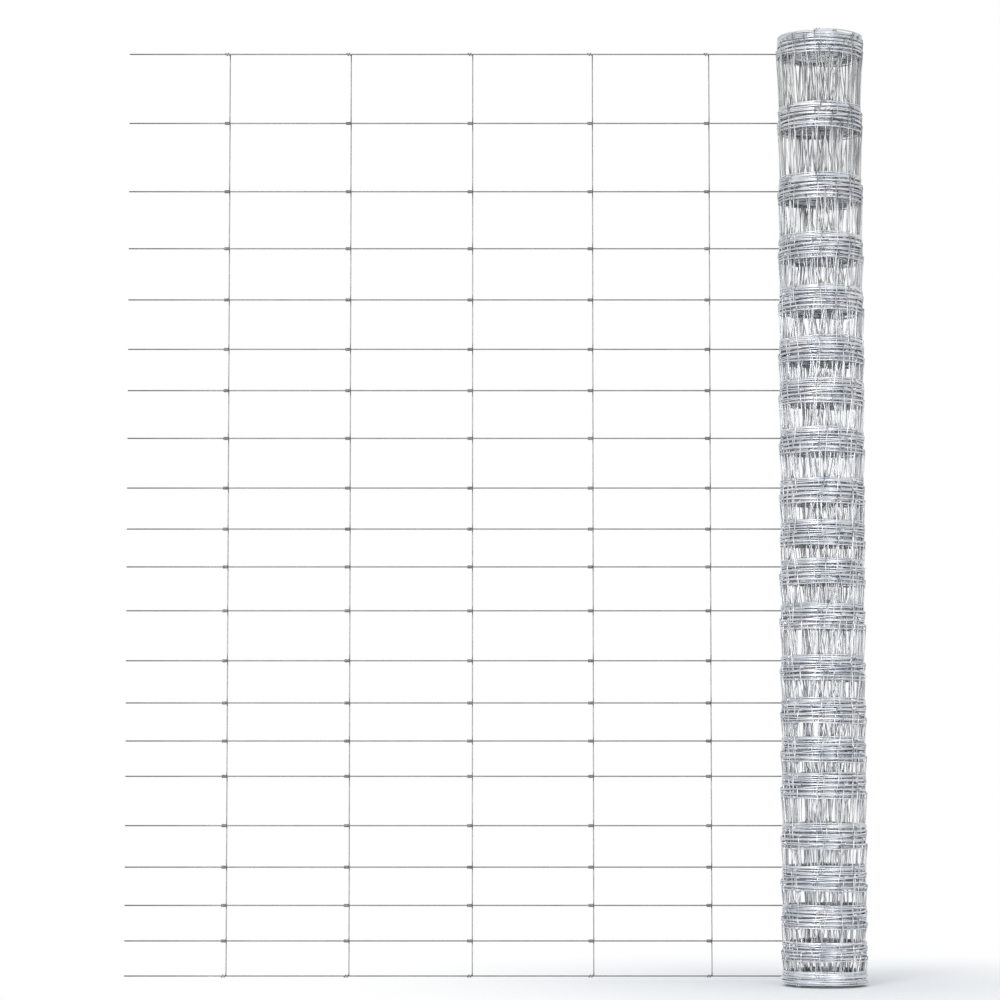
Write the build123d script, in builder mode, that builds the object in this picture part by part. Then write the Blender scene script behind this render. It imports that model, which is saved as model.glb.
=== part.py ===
"""A standing roll of knotted wire fencing with its flat end unrolled to the left.

Millimetres. The origin is on the roll's axis at the end it stands on, +Z runs up the axis,
and the flat end of the fence leaves the back of the roll towards -X.
"""
import os

from build123d import *

# Wire of the fence
line_wire_diameter = 3
stay_wire_diameter = 2.5
wire_sides = 4

# Gaps between neighbouring line wires, from the bottom of the fence to its top
line_gaps = [75, 76, 82, 89, 106, 76, 82, 91, 108, 95, 82, 89, 108, 104, 90, 108, 112, 125, 150, 152]

# Knots, where the two cut ends of a stay wrap round a line wire beside the stay
knot_length = 12
knot_diameter = 8
knot_overhang = 2.5

# Flat end of the fence: stays counted from the roll's axis outwards, then the bare wire ends
stay_spacings = [232, 254, 261, 265, 264]
free_end_length = 219

# Wound part
bore_radius = 50
crest_radius = 95
waist_radius = 88
base_rise = 13
band_rise = 8
band_drop = 42
band_slope = 5
top_rise = 20

# Turns of the fence, which show as one spiral on each end between two flat rims
winding_pitch = 5.5
rim_width = 3
groove_depth = 1.8
ridge_drop = 0.3
groove_overshoot = 0.4

# Play between the roll and the line wires that leave it
seat_clearance = 0.3

line_heights = [base_rise + sum(line_gaps[:count]) for count in range(len(line_gaps) + 1)]
roll_length = line_heights[-1] + top_rise
sheet_y = crest_radius + seat_clearance + line_wire_diameter / 2
stay_positions = [-sum(stay_spacings[:count + 1]) for count in range(len(stay_spacings))]
sheet_end = stay_positions[-1] - free_end_length
groove_half_width = winding_pitch / 2 / (1 - ridge_drop / groove_depth)
spiral_start = bore_radius + rim_width + groove_half_width
spiral_stop = crest_radius - rim_width - groove_half_width
half_turns = int((spiral_stop - spiral_start) // (winding_pitch / 2))


def band_outline():
    """Points of the roll's side from its foot to its top: a crest at each line wire, a waist between."""
    points = [(crest_radius, 0)]
    for gap, height in zip(line_gaps, line_heights):
        crest_head = height + band_rise
        next_foot = height + gap - band_drop
        points.append((crest_radius, crest_head))
        points.append((waist_radius, crest_head + band_slope))
        points.append((waist_radius, next_foot - band_slope))
        points.append((crest_radius, next_foot))
    points.append((crest_radius, roll_length))
    return points


def groove_outline(middle, face_height, outwards):
    """Section of the groove between two turns, with its mouth a little outside the end face."""
    mouth = face_height + outwards * groove_overshoot
    half_mouth = groove_half_width * (1 + groove_overshoot / groove_depth)
    tip = face_height - outwards * groove_depth
    Polyline((middle - half_mouth, mouth), (middle, tip), (middle + half_mouth, mouth), close=True)


os.makedirs("parts", exist_ok=True)

# Spiral that the turns show on both ends: a V groove in half turns about two centres
with BuildPart() as end_turns:
    for half_turn in range(half_turns):
        side = 1 if half_turn % 2 == 0 else -1
        centre = (1 - side) * winding_pitch / 4
        middle = centre + side * (spiral_start + half_turn * winding_pitch / 2)
        with BuildSketch(Plane.XZ):
            for face_height, outwards in ((roll_length, 1), (0, -1)):
                with BuildLine():
                    groove_outline(middle, face_height, outwards)
                make_face()
        revolve(axis=Axis((centre, 0, 0), (0, 0, 1)), revolution_arc=180)

# Wound roll: one turned solid with its bore and a band of windings at each line wire
with BuildPart() as wound_roll:
    with BuildSketch(Plane.XZ):
        with BuildLine():
            Polyline((bore_radius, roll_length), (bore_radius, 0), *band_outline(), close=True)
        make_face()
    revolve(axis=Axis.Z)
    add(end_turns.part, mode=Mode.SUBTRACT)

wound_roll.part.label = "wound_roll"
export_step(wound_roll.part, "parts/wound_roll.step")

# Flat end: line wires and stays in one plane, fused into a knot where they cross
with BuildPart() as unrolled_mesh:
    with BuildSketch(Plane.YZ.offset(sheet_end)):
        with Locations(*[(sheet_y, height) for height in line_heights]):
            RegularPolygon(radius=line_wire_diameter / 2, side_count=wire_sides)
    extrude(amount=-sheet_end)

    with BuildSketch(Plane.XY.offset(line_heights[0])):
        with Locations(*[(position, sheet_y) for position in stay_positions]):
            RegularPolygon(radius=stay_wire_diameter / 2, side_count=wire_sides)
    extrude(amount=line_heights[-1] - line_heights[0])

    for position in stay_positions:
        with BuildSketch(Plane.YZ.offset(position + knot_overhang - knot_length)):
            with Locations(*[(sheet_y, height) for height in line_heights]):
                RegularPolygon(radius=knot_diameter / 2, side_count=wire_sides, rotation=90)
        extrude(amount=knot_length)

unrolled_mesh.part.label = "unrolled_mesh"
export_step(unrolled_mesh.part, "parts/unrolled_mesh.step")
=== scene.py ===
"""Looks of a standing roll of knotted wire fencing with its flat end unrolled to the left.

The whole fence is laid out flat first, in fence coordinates: along it from the point where it
leaves the roll (negative on the flat end, positive towards the inside of the roll), through it
from the roll's axis outwards, and up. wind() then takes every point to its place on the object.
"""
import math

import bpy
import numpy as np
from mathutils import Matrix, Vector


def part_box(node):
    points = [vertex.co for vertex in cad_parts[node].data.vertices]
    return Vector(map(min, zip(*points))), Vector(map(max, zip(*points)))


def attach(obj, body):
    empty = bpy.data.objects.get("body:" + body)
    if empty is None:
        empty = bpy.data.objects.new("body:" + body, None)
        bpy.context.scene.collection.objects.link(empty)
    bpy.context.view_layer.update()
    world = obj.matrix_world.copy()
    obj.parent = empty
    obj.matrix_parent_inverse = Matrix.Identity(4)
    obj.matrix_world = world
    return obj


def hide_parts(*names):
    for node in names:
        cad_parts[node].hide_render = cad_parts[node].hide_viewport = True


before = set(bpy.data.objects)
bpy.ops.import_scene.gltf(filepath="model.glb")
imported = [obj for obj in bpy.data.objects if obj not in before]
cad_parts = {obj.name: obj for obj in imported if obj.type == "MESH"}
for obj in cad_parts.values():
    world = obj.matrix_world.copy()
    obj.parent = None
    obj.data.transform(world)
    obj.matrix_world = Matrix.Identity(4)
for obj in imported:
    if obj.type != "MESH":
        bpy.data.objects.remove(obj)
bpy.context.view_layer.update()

MM = 0.001

# Fence, gaps in millimetres: between line wires from the foot up, and between stays from the
# roll's axis outwards along the flat end
LINE_GAPS = [75, 76, 82, 89, 106, 76, 82, 91, 108, 95, 82, 89, 108, 104, 90, 108, 112, 125, 150, 152]
STAY_SPACINGS = [232, 254, 261, 265, 264]
LINE_RADIUS = 1.5 * MM
STAY_RADIUS = 1.25 * MM
BASE_RISE = 13 * MM

# Knots: the two stay ends that meet at a line wire wrap round it together, like a double thread
WRAP_RADIUS = 2.7 * MM
WRAP_PITCH = 5.5 * MM
WRAP_TURNS = 1.9

# Wound part: turns from the leaving point inwards, the radius there and the height shift,
# which spreads each line wire's windings into a band, and the turns over which the fence comes
# in from the flat end's plane
ROLL_TURNS = 52
RADIUS_TURNS = [0, 12, 44, ROLL_TURNS]
RADIUS_VALUES = [90 * MM, 87 * MM, 73 * MM, 54 * MM]
SHIFT_TURNS = [0, 1.1, 12, 25, 38, ROLL_TURNS]
SHIFT_VALUES = [0, -44 * MM, 9 * MM, -43 * MM, 8 * MM, -40 * MM]
LEAVING_TURNS = 0.3

# Rows of a band: they sway up over one turn and down over the next, and ripple besides
ROW_SWAY = 1.6 * MM
ROW_RIPPLE = 0.9 * MM
ROW_RIPPLE_TURNS = [0.73, 1.31, 2.9]
ROW_SEED = 11
SWAY_START_TURNS = 0.5

# The ends of the roll: the windings there spread less and stand a little higher, and at the
# top they are wider too
FOOT_SHARES = [0.5, 0.75, 0.92]
FOOT_LIFT = 15.5 * MM
HEAD_SHARE = 0.85
HEAD_LIFTS = [2 * MM, 4 * MM, 7 * MM]
HEAD_FLARE = 3 * MM
FLARE_TURNS = [0, 3, 14, 24]
FLARE_SHARES = [0, 0.5, 1, 0]

# Wound line wires: how far each strays up or down and in or out, over which lengths of wire in
# metres, and the length over which that sets in
WANDER = 1.1 * MM
WANDER_LENGTHS = [0.13, 0.31, 0.83]
WANDER_SEED = 200
KINK = 0.35 * MM
KINK_LENGTHS = [0.07, 0.11, 0.19]
KINK_SEED = 100
SETTLING_LENGTH = 80 * MM

# Wound stays: their spacing, the bare length at the inner end, how far their knots slip along
# the fence, and how far each span bows along the fence and towards the roll's axis
WOUND_STAY_PITCH = 232 * MM
INNER_END_LENGTH = 20 * MM
SLIP_AT_FOOT = 5 * MM
SLIP_AT_TOP = 10 * MM
BOW_ALONG = 3 * MM
BOW_INWARDS = 1.5 * MM
STAY_SEED = 7

# Fineness of the wires and of the spiral that they follow
LINE_SIDES = 5
LINE_STEP = 14 * MM
FLAT_STAY_SIDES = 8
FLAT_STAY_STEPS = 8
WOUND_STAY_SIDES = 4
WOUND_STAY_STEPS = 6
WRAP_STEPS_PER_TURN = 6
SPIRAL_STEPS_PER_TURN = 90

# Pieces that the line wires, and the rows of stays above each of them, are shared out over
SHARES = {"foot": slice(0, 7), "middle": slice(7, 14), "top": slice(14, None)}

# Zinc coating: the two colours of its patches, then tones that multiply them as painted shade high
# on the roll and on the flat end, where they also make the wires a little less blue
LINE_WIRE_COLOURS = {
    "dark": (0.52, 0.55, 0.595, 1),
    "light": (0.76, 0.77, 0.79, 1),
    # No painted shade high on the roll for the line wires
    "top_shade_tone": (1, 1, 1, 1),
    # Painted shade: the line wires on the flat end darker than on the roll, and a little less blue
    "flat_shade_tone": (0.34, 0.33, 0.31, 1),
}
STAY_WIRE_COLOURS = {
    "dark": (0.50, 0.525, 0.56, 1),
    "light": (0.76, 0.765, 0.775, 1),
    # Painted shade: the stays darker high on the roll
    "top_shade_tone": (0.72, 0.72, 0.70, 1),
    # Painted shade: the stays on the flat end darker than on the roll, and a little less blue
    "flat_shade_tone": (0.43, 0.42, 0.40, 1),
}
COATING_METALLIC = 0.8
PATCH_SCALE = 28
PATCH_DETAIL = 3
PATCH_ENDS = (0.3, 0.7)
SPANGLE_SCALE = 420
SPANGLE_DETAIL = 4
SPANGLE_ROUGHNESS = (0.28, 0.5)
SPANGLE_BUMP = 0.25
SPANGLE_HEIGHT = 0.2 * MM

# Where the painted shade sets in, in the object's own frame: the flat end lies beside the roll and
# behind its axis, and painted shade darkens the roll towards its top
FLAT_END_X = (-0.04, -0.06)
FLAT_END_Y = (0.080, 0.085)
# Heights over which the painted shade at the roll's top sets in
TOP_SHADE_Z = (1.35, 1.85)

# Studio: soft light, a floor that fades to white away from the object, lamps and the camera
WHITE = (1, 1, 1, 1)
SKY_COLOUR = (0.9, 0.95, 1, 1)
SKY_STRENGTH = 0.78
FLOOR_COLOUR = (0.93, 0.93, 0.93, 1)
FLOOR_ROUGHNESS = 0.9
FLOOR_REACH = 60
FLOOR_FADE = (0.15, 1.1)
LAMPS = {
    "key": {"place": (-2.6, -4.8, 2.2), "target": (-0.1, 0, 0.6), "size": 2.5, "power": 140},
    "fill": {"place": (1.8, -5, 0.6), "target": (-0.3, 0, 0.5), "size": 2.0, "power": 95},
}
CAMERA_X = -0.6875
CAMERA_DISTANCE = 7.0
CAMERA_HEIGHT = 0.53
CAMERA_PITCH = math.radians(3.18)
SENSOR_WIDTH = 36
LENS = 116.65
LENS_SHIFT = 0.055

# Sockets of a Mix node that mixes colours
MIX_FIRST_COLOUR = 6
MIX_SECOND_COLOUR = 7
MIX_RESULT_COLOUR = 2

LINE_HEIGHTS = BASE_RISE + np.concatenate([[0], np.cumsum(LINE_GAPS)]) * MM
FLAT_STAYS = -np.cumsum(STAY_SPACINGS) * MM
SHEET_LOW, SHEET_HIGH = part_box("unrolled_mesh")
FREE_END = SHEET_LOW.x
SHEET_Y = (SHEET_LOW.y + SHEET_HIGH.y) / 2

ALONG = np.array([1.0, 0, 0])
UP = np.array([0, 0, 1.0])


def smooth_step(value):
    """Nought up to 0, one from 1 on, and a smooth rise between."""
    value = np.clip(value, 0, 1)
    return value * value * (3 - 2 * value)


def spiral_radius(turns):
    """Radius of the fence's middle after that many turns inwards."""
    wound = np.interp(turns, RADIUS_TURNS, RADIUS_VALUES)
    return wound + (SHEET_Y - RADIUS_VALUES[0]) * (1 - smooth_step(turns / LEAVING_TURNS))


# Tables of the spiral: turns inwards, radius and length of fence there
TURNS = np.linspace(0, ROLL_TURNS, ROLL_TURNS * SPIRAL_STEPS_PER_TURN + 1)
RADII = spiral_radius(TURNS)
LENGTHS = np.concatenate([[0], np.cumsum((RADII[1:] + RADII[:-1]) * math.pi * np.diff(TURNS))])
WOUND_LENGTH = LENGTHS[-1]


def ripple(seed, position, wavelengths, height):
    """A smooth wave of about that height, made of a few sines with seeded phases."""
    phases = np.random.default_rng(seed).uniform(0, 2 * math.pi, len(wavelengths))
    waves = [np.sin(2 * math.pi * position / length + phase) for length, phase in zip(wavelengths, phases)]
    return height * sum(waves) / math.sqrt(len(wavelengths))


def telescoped(turns):
    """Height shift of the windings: down over the outer turn, then slowly up and down twice."""
    shift = np.interp(turns, SHIFT_TURNS, SHIFT_VALUES)
    sway = ROW_SWAY * np.sin(math.pi * turns) + ripple(ROW_SEED, turns, ROW_RIPPLE_TURNS, ROW_RIPPLE)
    return shift + sway * smooth_step(turns / SWAY_START_TURNS)


def shift_share(up):
    """Share of the height shift that the windings keep, least near the floor that they stand on."""
    heights = np.concatenate([LINE_HEIGHTS[:len(FOOT_SHARES) + 1], LINE_HEIGHTS[-2:]])
    return np.interp(up, heights, FOOT_SHARES + [1, 1, HEAD_SHARE])


def end_lift(up):
    """How much higher than the rest the windings of the bottom and top line wires stand."""
    heights = np.concatenate([LINE_HEIGHTS[:2], LINE_HEIGHTS[-1 - len(HEAD_LIFTS):]])
    return np.interp(up, heights, [FOOT_LIFT, 0, 0] + HEAD_LIFTS)


def head_flare(up, turns):
    """How much wider than the rest the outer windings of the top line wire are."""
    return np.interp(up, LINE_HEIGHTS[-2:], [0, HEAD_FLARE]) * np.interp(turns, FLARE_TURNS, FLARE_SHARES)


def wind(laid):
    """Takes points of the flat fence (along, through, up) to the object's own frame."""
    along, through, up = laid[:, 0], laid[:, 1], laid[:, 2]
    turns = np.interp(along, LENGTHS, TURNS)
    angle = math.pi / 2 - 2 * math.pi * turns
    radius = np.interp(turns, TURNS, RADII) + through + head_flare(up, turns)
    flat = along < 0
    x = np.where(flat, along, radius * np.cos(angle))
    y = np.where(flat, SHEET_Y + through, radius * np.sin(angle))
    rise = telescoped(turns) * shift_share(up) + end_lift(up) * smooth_step(turns)
    return np.stack([x, y, up + rise], axis=1)


class Wires:
    """Round wires laid out on the flat fence, collected into one mesh and then wound."""

    def __init__(self, radius, sides):
        self.radius = radius
        self.sides = sides
        self.points = []
        self.faces = []
        self.count = 0

    def add(self, path, across):
        """One wire along the path, with the ring's first spoke turned towards across."""
        path = np.asarray(path, float)
        tangent = np.gradient(path, axis=0)
        tangent /= np.linalg.norm(tangent, axis=1)[:, None]
        spoke = across - (tangent @ across)[:, None] * tangent
        spoke /= np.linalg.norm(spoke, axis=1)[:, None]
        other = np.cross(tangent, spoke)
        turn = (2 * math.pi * np.arange(self.sides) / self.sides)[None, :, None]
        ring = np.cos(turn) * spoke[:, None] + np.sin(turn) * other[:, None]
        self.points.append((path[:, None] + self.radius * ring).reshape(-1, 3))

        first = self.count + self.sides * np.arange(len(path) - 1)[:, None]
        following = first + self.sides
        side = np.arange(self.sides)[None, :]
        after = (side + 1) % self.sides
        quads = np.stack([first + side, first + after, following + after, following + side], axis=2)
        self.faces += quads.reshape(-1, 4).tolist()
        last = self.count + self.sides * (len(path) - 1)
        self.faces.append([self.count + index for index in reversed(range(self.sides))])
        self.faces.append([last + index for index in range(self.sides)])
        self.count += self.sides * len(path)

    def build(self, name, material, *nodes):
        """The wires as one object, which rides on the part and stands for those CAD nodes."""
        mesh = bpy.data.meshes.new(name)
        mesh.from_pydata(wind(np.concatenate(self.points)).tolist(), [], self.faces)
        mesh.polygons.foreach_set("use_smooth", [True] * len(mesh.polygons))
        mesh.materials.append(material)
        piece = bpy.data.objects.new(name, mesh)
        bpy.context.scene.collection.objects.link(piece)
        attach(piece, "root")
        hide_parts(*nodes)


def settled(along):
    """Nought on the flat end and one in the roll: how far the wires stray from their straight lines."""
    return smooth_step(along / SETTLING_LENGTH)


def line_wander(line, along):
    """How far a wound line wire strays up or down from its place in the fence."""
    return ripple(WANDER_SEED + line, along, WANDER_LENGTHS, WANDER) * settled(along)


def line_wire_path(line):
    """A line wire from its free end to the inside of the roll, straight until it is wound."""
    flat = np.concatenate([[FREE_END], np.sort(FLAT_STAYS)])
    wound = np.linspace(0, WOUND_LENGTH, int(WOUND_LENGTH / LINE_STEP))
    along = np.concatenate([flat, wound])
    through = ripple(KINK_SEED + line, along, KINK_LENGTHS, KINK) * settled(along)
    up = LINE_HEIGHTS[line] + line_wander(line, along)
    return np.stack([along, through, up], axis=1)


def wrap(line, along, start_angle):
    """Points of one stay end round a line wire, away from the stay towards the free end."""
    steps = int(WRAP_TURNS * WRAP_STEPS_PER_TURN)
    turned = 2 * math.pi * WRAP_TURNS * np.arange(1, steps + 1) / steps
    angle = start_angle - turned
    height = LINE_HEIGHTS[line] + line_wander(line, np.full(steps, along))
    return np.stack([
        along - WRAP_PITCH * turned / (2 * math.pi),
        WRAP_RADIUS * np.cos(angle),
        height + WRAP_RADIUS * np.sin(angle),
    ], axis=1)


def stay_path(line, lower_along, upper_along, bow, steps):
    """One stay from the knot on a line wire to the knot on the next: wrap, span, wrap."""
    lower = LINE_HEIGHTS[line] + line_wander(line, lower_along)
    upper = LINE_HEIGHTS[line + 1] + line_wander(line + 1, upper_along)
    low_wrap = wrap(line, lower_along, math.pi)[::-1]
    high_wrap = wrap(line + 1, upper_along, 0)
    share = np.linspace(0, 1, steps)
    span = np.stack([
        lower_along + (upper_along - lower_along) * share + bow[0] * np.sin(math.pi * share),
        -WRAP_RADIUS + 2 * WRAP_RADIUS * share + bow[1] * np.sin(math.pi * share),
        lower + (upper - lower) * share,
    ], axis=1)
    return np.concatenate([low_wrap, span, high_wrap])


def build_line_wires(material):
    """Each line wire in one length: along the flat end, onto the roll and round it."""
    for part, share in SHARES.items():
        wires = Wires(LINE_RADIUS, LINE_SIDES)
        for line in range(len(LINE_HEIGHTS))[share]:
            wires.add(line_wire_path(line), UP)
        wires.build("line_wires_" + part, material, "unrolled_mesh", "wound_roll")


def build_flat_stays(material):
    """The straight stays of the flat end."""
    wires = Wires(STAY_RADIUS, FLAT_STAY_SIDES)
    for along in FLAT_STAYS:
        for line in range(len(LINE_GAPS)):
            wires.add(stay_path(line, along, along, (0, 0), FLAT_STAY_STEPS), ALONG)
    wires.build("flat_stays", material, "unrolled_mesh")


def build_wound_stays(material):
    """The stays inside the roll, each span leaning and bowing a little in its own way."""
    first = WOUND_STAY_PITCH + FLAT_STAYS[0]
    places = np.arange(first, WOUND_LENGTH - INNER_END_LENGTH, WOUND_STAY_PITCH)
    rng = np.random.default_rng(STAY_SEED)
    slips = rng.normal(0, 1, (len(places), len(LINE_HEIGHTS)))
    slips *= np.linspace(SLIP_AT_FOOT, SLIP_AT_TOP, len(LINE_HEIGHTS))
    bows = rng.normal(0, 1, (len(places), len(LINE_GAPS), 2))
    bows = np.stack([BOW_ALONG * bows[..., 0], -BOW_INWARDS * abs(bows[..., 1])], axis=2)
    for part, share in SHARES.items():
        wires = Wires(STAY_RADIUS, WOUND_STAY_SIDES)
        for slipped, bow in zip(places[:, None] + slips, bows):
            for line in range(len(LINE_GAPS))[share]:
                path = stay_path(line, slipped[line], slipped[line + 1], bow[line], WOUND_STAY_STEPS)
                wires.add(path, ALONG)
        wires.build("wound_stays_" + part, material, "wound_roll")


def add_math(nodes, links, operation, first, second):
    """A math node on two values, each a socket or a number."""
    node = nodes.new("ShaderNodeMath")
    node.operation = operation
    for slot, value in zip(node.inputs, (first, second)):
        if isinstance(value, bpy.types.NodeSocket):
            links.new(value, slot)
        else:
            slot.default_value = value
    return node.outputs["Value"]


def add_range(nodes, links, value, span, result=(0, 1), interpolation="LINEAR"):
    """The value over that span, remapped to the result's own ends and held there beyond them."""
    node = nodes.new("ShaderNodeMapRange")
    node.interpolation_type = interpolation
    node.inputs["From Min"].default_value, node.inputs["From Max"].default_value = span
    node.inputs["To Min"].default_value, node.inputs["To Max"].default_value = result
    links.new(value, node.inputs["Value"])
    return node.outputs["Result"]


def add_tone(nodes, links, share, base, tone):
    """The base colour multiplied by a tone, as far as the share says."""
    node = nodes.new("ShaderNodeMix")
    node.data_type = "RGBA"
    node.blend_type = "MULTIPLY"
    links.new(share, node.inputs["Factor"])
    links.new(base, node.inputs[MIX_FIRST_COLOUR])
    node.inputs[MIX_SECOND_COLOUR].default_value = tone
    return node.outputs[MIX_RESULT_COLOUR]


def add_noise(nodes, links, place, scale, detail):
    """Noise in the object's own frame."""
    node = nodes.new("ShaderNodeTexNoise")
    node.inputs["Scale"].default_value = scale
    node.inputs["Detail"].default_value = detail
    links.new(place, node.inputs["Vector"])
    return node.outputs["Fac"]


def galvanised_wire(name, dark, light, top_shade_tone, flat_shade_tone):
    """Zinc-coated steel: spangled metal, with painted shade high on the roll and on the flat end."""
    material = bpy.data.materials.new(name)
    material.use_nodes = True
    nodes, links = material.node_tree.nodes, material.node_tree.links
    shader = nodes["Principled BSDF"]
    shader.inputs["Metallic"].default_value = COATING_METALLIC
    place = nodes.new("ShaderNodeTexCoord").outputs["Object"]

    patches = nodes.new("ShaderNodeValToRGB")
    for element, position, colour in zip(patches.color_ramp.elements, PATCH_ENDS, (dark, light)):
        element.position = position
        element.color = colour
    links.new(add_noise(nodes, links, place, PATCH_SCALE, PATCH_DETAIL), patches.inputs["Fac"])

    apart = nodes.new("ShaderNodeSeparateXYZ")
    links.new(place, apart.inputs["Vector"])
    beside = add_range(nodes, links, apart.outputs["X"], FLAT_END_X)
    behind = add_range(nodes, links, apart.outputs["Y"], FLAT_END_Y)
    unrolled = add_math(nodes, links, "MULTIPLY", beside, behind)
    wound = add_math(nodes, links, "SUBTRACT", 1, unrolled)
    high = add_range(nodes, links, apart.outputs["Z"], TOP_SHADE_Z)
    wound_top = add_math(nodes, links, "MULTIPLY", high, wound)
    # Painted shade: the colour darker high on the roll
    top_shaded = add_tone(nodes, links, wound_top, patches.outputs["Color"], top_shade_tone)
    # Painted shade on the flat end: the colour darker there, and a little less blue
    flat_shaded = add_tone(nodes, links, unrolled, top_shaded, flat_shade_tone)
    links.new(flat_shaded, shader.inputs["Base Color"])

    spangle = add_noise(nodes, links, place, SPANGLE_SCALE, SPANGLE_DETAIL)
    links.new(add_range(nodes, links, spangle, (0, 1), SPANGLE_ROUGHNESS), shader.inputs["Roughness"])
    bump = nodes.new("ShaderNodeBump")
    bump.inputs["Strength"].default_value = SPANGLE_BUMP
    bump.inputs["Distance"].default_value = SPANGLE_HEIGHT
    links.new(spangle, bump.inputs["Height"])
    links.new(bump.outputs["Normal"], shader.inputs["Normal"])
    return material


def seen_directly(nodes, links):
    """One for the rays that should meet plain white: the camera's, and mirrored or passed ones."""
    rays = nodes.new("ShaderNodeLightPath").outputs
    seen_or_mirrored = add_math(nodes, links, "MAXIMUM", rays["Is Camera Ray"], rays["Is Glossy Ray"])
    return add_math(nodes, links, "MAXIMUM", seen_or_mirrored, rays["Is Transmission Ray"])


def build_world():
    """Soft blue-white light all round, which is plain white where it is seen itself."""
    world = bpy.data.worlds.new("studio")
    bpy.context.scene.world = world
    world.use_nodes = True
    nodes, links = world.node_tree.nodes, world.node_tree.links
    soft = nodes["Background"]
    soft.inputs["Color"].default_value = SKY_COLOUR
    soft.inputs["Strength"].default_value = SKY_STRENGTH
    white = nodes.new("ShaderNodeBackground")
    white.inputs["Color"].default_value = WHITE
    white.inputs["Strength"].default_value = 1
    mix = nodes.new("ShaderNodeMixShader")
    links.new(seen_directly(nodes, links), mix.inputs["Fac"])
    links.new(soft.outputs["Background"], mix.inputs[1])
    links.new(white.outputs["Background"], mix.inputs[2])
    links.new(mix.outputs["Shader"], nodes["World Output"].inputs["Surface"])


def pale_floor():
    """Pale and lit round the object, where its shadow lies, and plain white further out."""
    material = bpy.data.materials.new("pale_floor")
    material.use_nodes = True
    nodes, links = material.node_tree.nodes, material.node_tree.links
    lit = nodes["Principled BSDF"]
    lit.inputs["Base Color"].default_value = FLOOR_COLOUR
    lit.inputs["Roughness"].default_value = FLOOR_ROUGHNESS
    white = nodes.new("ShaderNodeEmission")
    white.inputs["Color"].default_value = WHITE
    white.inputs["Strength"].default_value = 1

    place = nodes.new("ShaderNodeTexCoord").outputs["Object"]
    distance = nodes.new("ShaderNodeVectorMath")
    distance.operation = "LENGTH"
    links.new(place, distance.inputs[0])
    far = add_range(nodes, links, distance.outputs["Value"], FLOOR_FADE, interpolation="SMOOTHSTEP")
    share = add_math(nodes, links, "MULTIPLY", far, seen_directly(nodes, links))

    mix = nodes.new("ShaderNodeMixShader")
    links.new(share, mix.inputs["Fac"])
    links.new(lit.outputs["BSDF"], mix.inputs[1])
    links.new(white.outputs["Emission"], mix.inputs[2])
    links.new(mix.outputs["Shader"], nodes["Material Output"].inputs["Surface"])
    return material


def build_floor():
    """A large square of floor about the roll's axis."""
    corners = [
        (-FLOOR_REACH, -FLOOR_REACH, 0),
        (FLOOR_REACH, -FLOOR_REACH, 0),
        (FLOOR_REACH, FLOOR_REACH, 0),
        (-FLOOR_REACH, FLOOR_REACH, 0),
    ]
    mesh = bpy.data.meshes.new("floor")
    mesh.from_pydata(corners, [], [(0, 1, 2, 3)])
    mesh.materials.append(pale_floor())
    floor = bpy.data.objects.new("floor", mesh)
    bpy.context.scene.collection.objects.link(floor)


def add_lamp(name, place, target, size, power):
    """A soft round lamp at that place, turned towards the target."""
    data = bpy.data.lights.new(name, "AREA")
    data.shape = "DISK"
    data.size = size
    data.energy = power
    lamp = bpy.data.objects.new(name, data)
    lamp.location = place
    lamp.rotation_euler = (Vector(target) - Vector(place)).to_track_quat("-Z", "Y").to_euler()
    bpy.context.scene.collection.objects.link(lamp)


def build_camera():
    """Low camera with a long lens, a little tilted up and shifted, as the photo looks up at the top."""
    data = bpy.data.cameras.new("camera")
    data.sensor_width = SENSOR_WIDTH
    data.lens = LENS
    data.shift_y = LENS_SHIFT
    camera = bpy.data.objects.new("camera", data)
    camera.location = (CAMERA_X, SHEET_Y - CAMERA_DISTANCE, CAMERA_HEIGHT)
    camera.rotation_euler = (math.pi / 2 + CAMERA_PITCH, 0, 0)
    bpy.context.scene.collection.objects.link(camera)
    bpy.context.scene.camera = camera


bpy.context.scene.view_settings.view_transform = "Standard"
line_wire = galvanised_wire("line_wire", **LINE_WIRE_COLOURS)
stay_wire = galvanised_wire("stay_wire", **STAY_WIRE_COLOURS)
build_line_wires(line_wire)
build_flat_stays(stay_wire)
build_wound_stays(stay_wire)
build_world()
build_floor()
for name, lamp in LAMPS.items():
    add_lamp(name, **lamp)
build_camera()
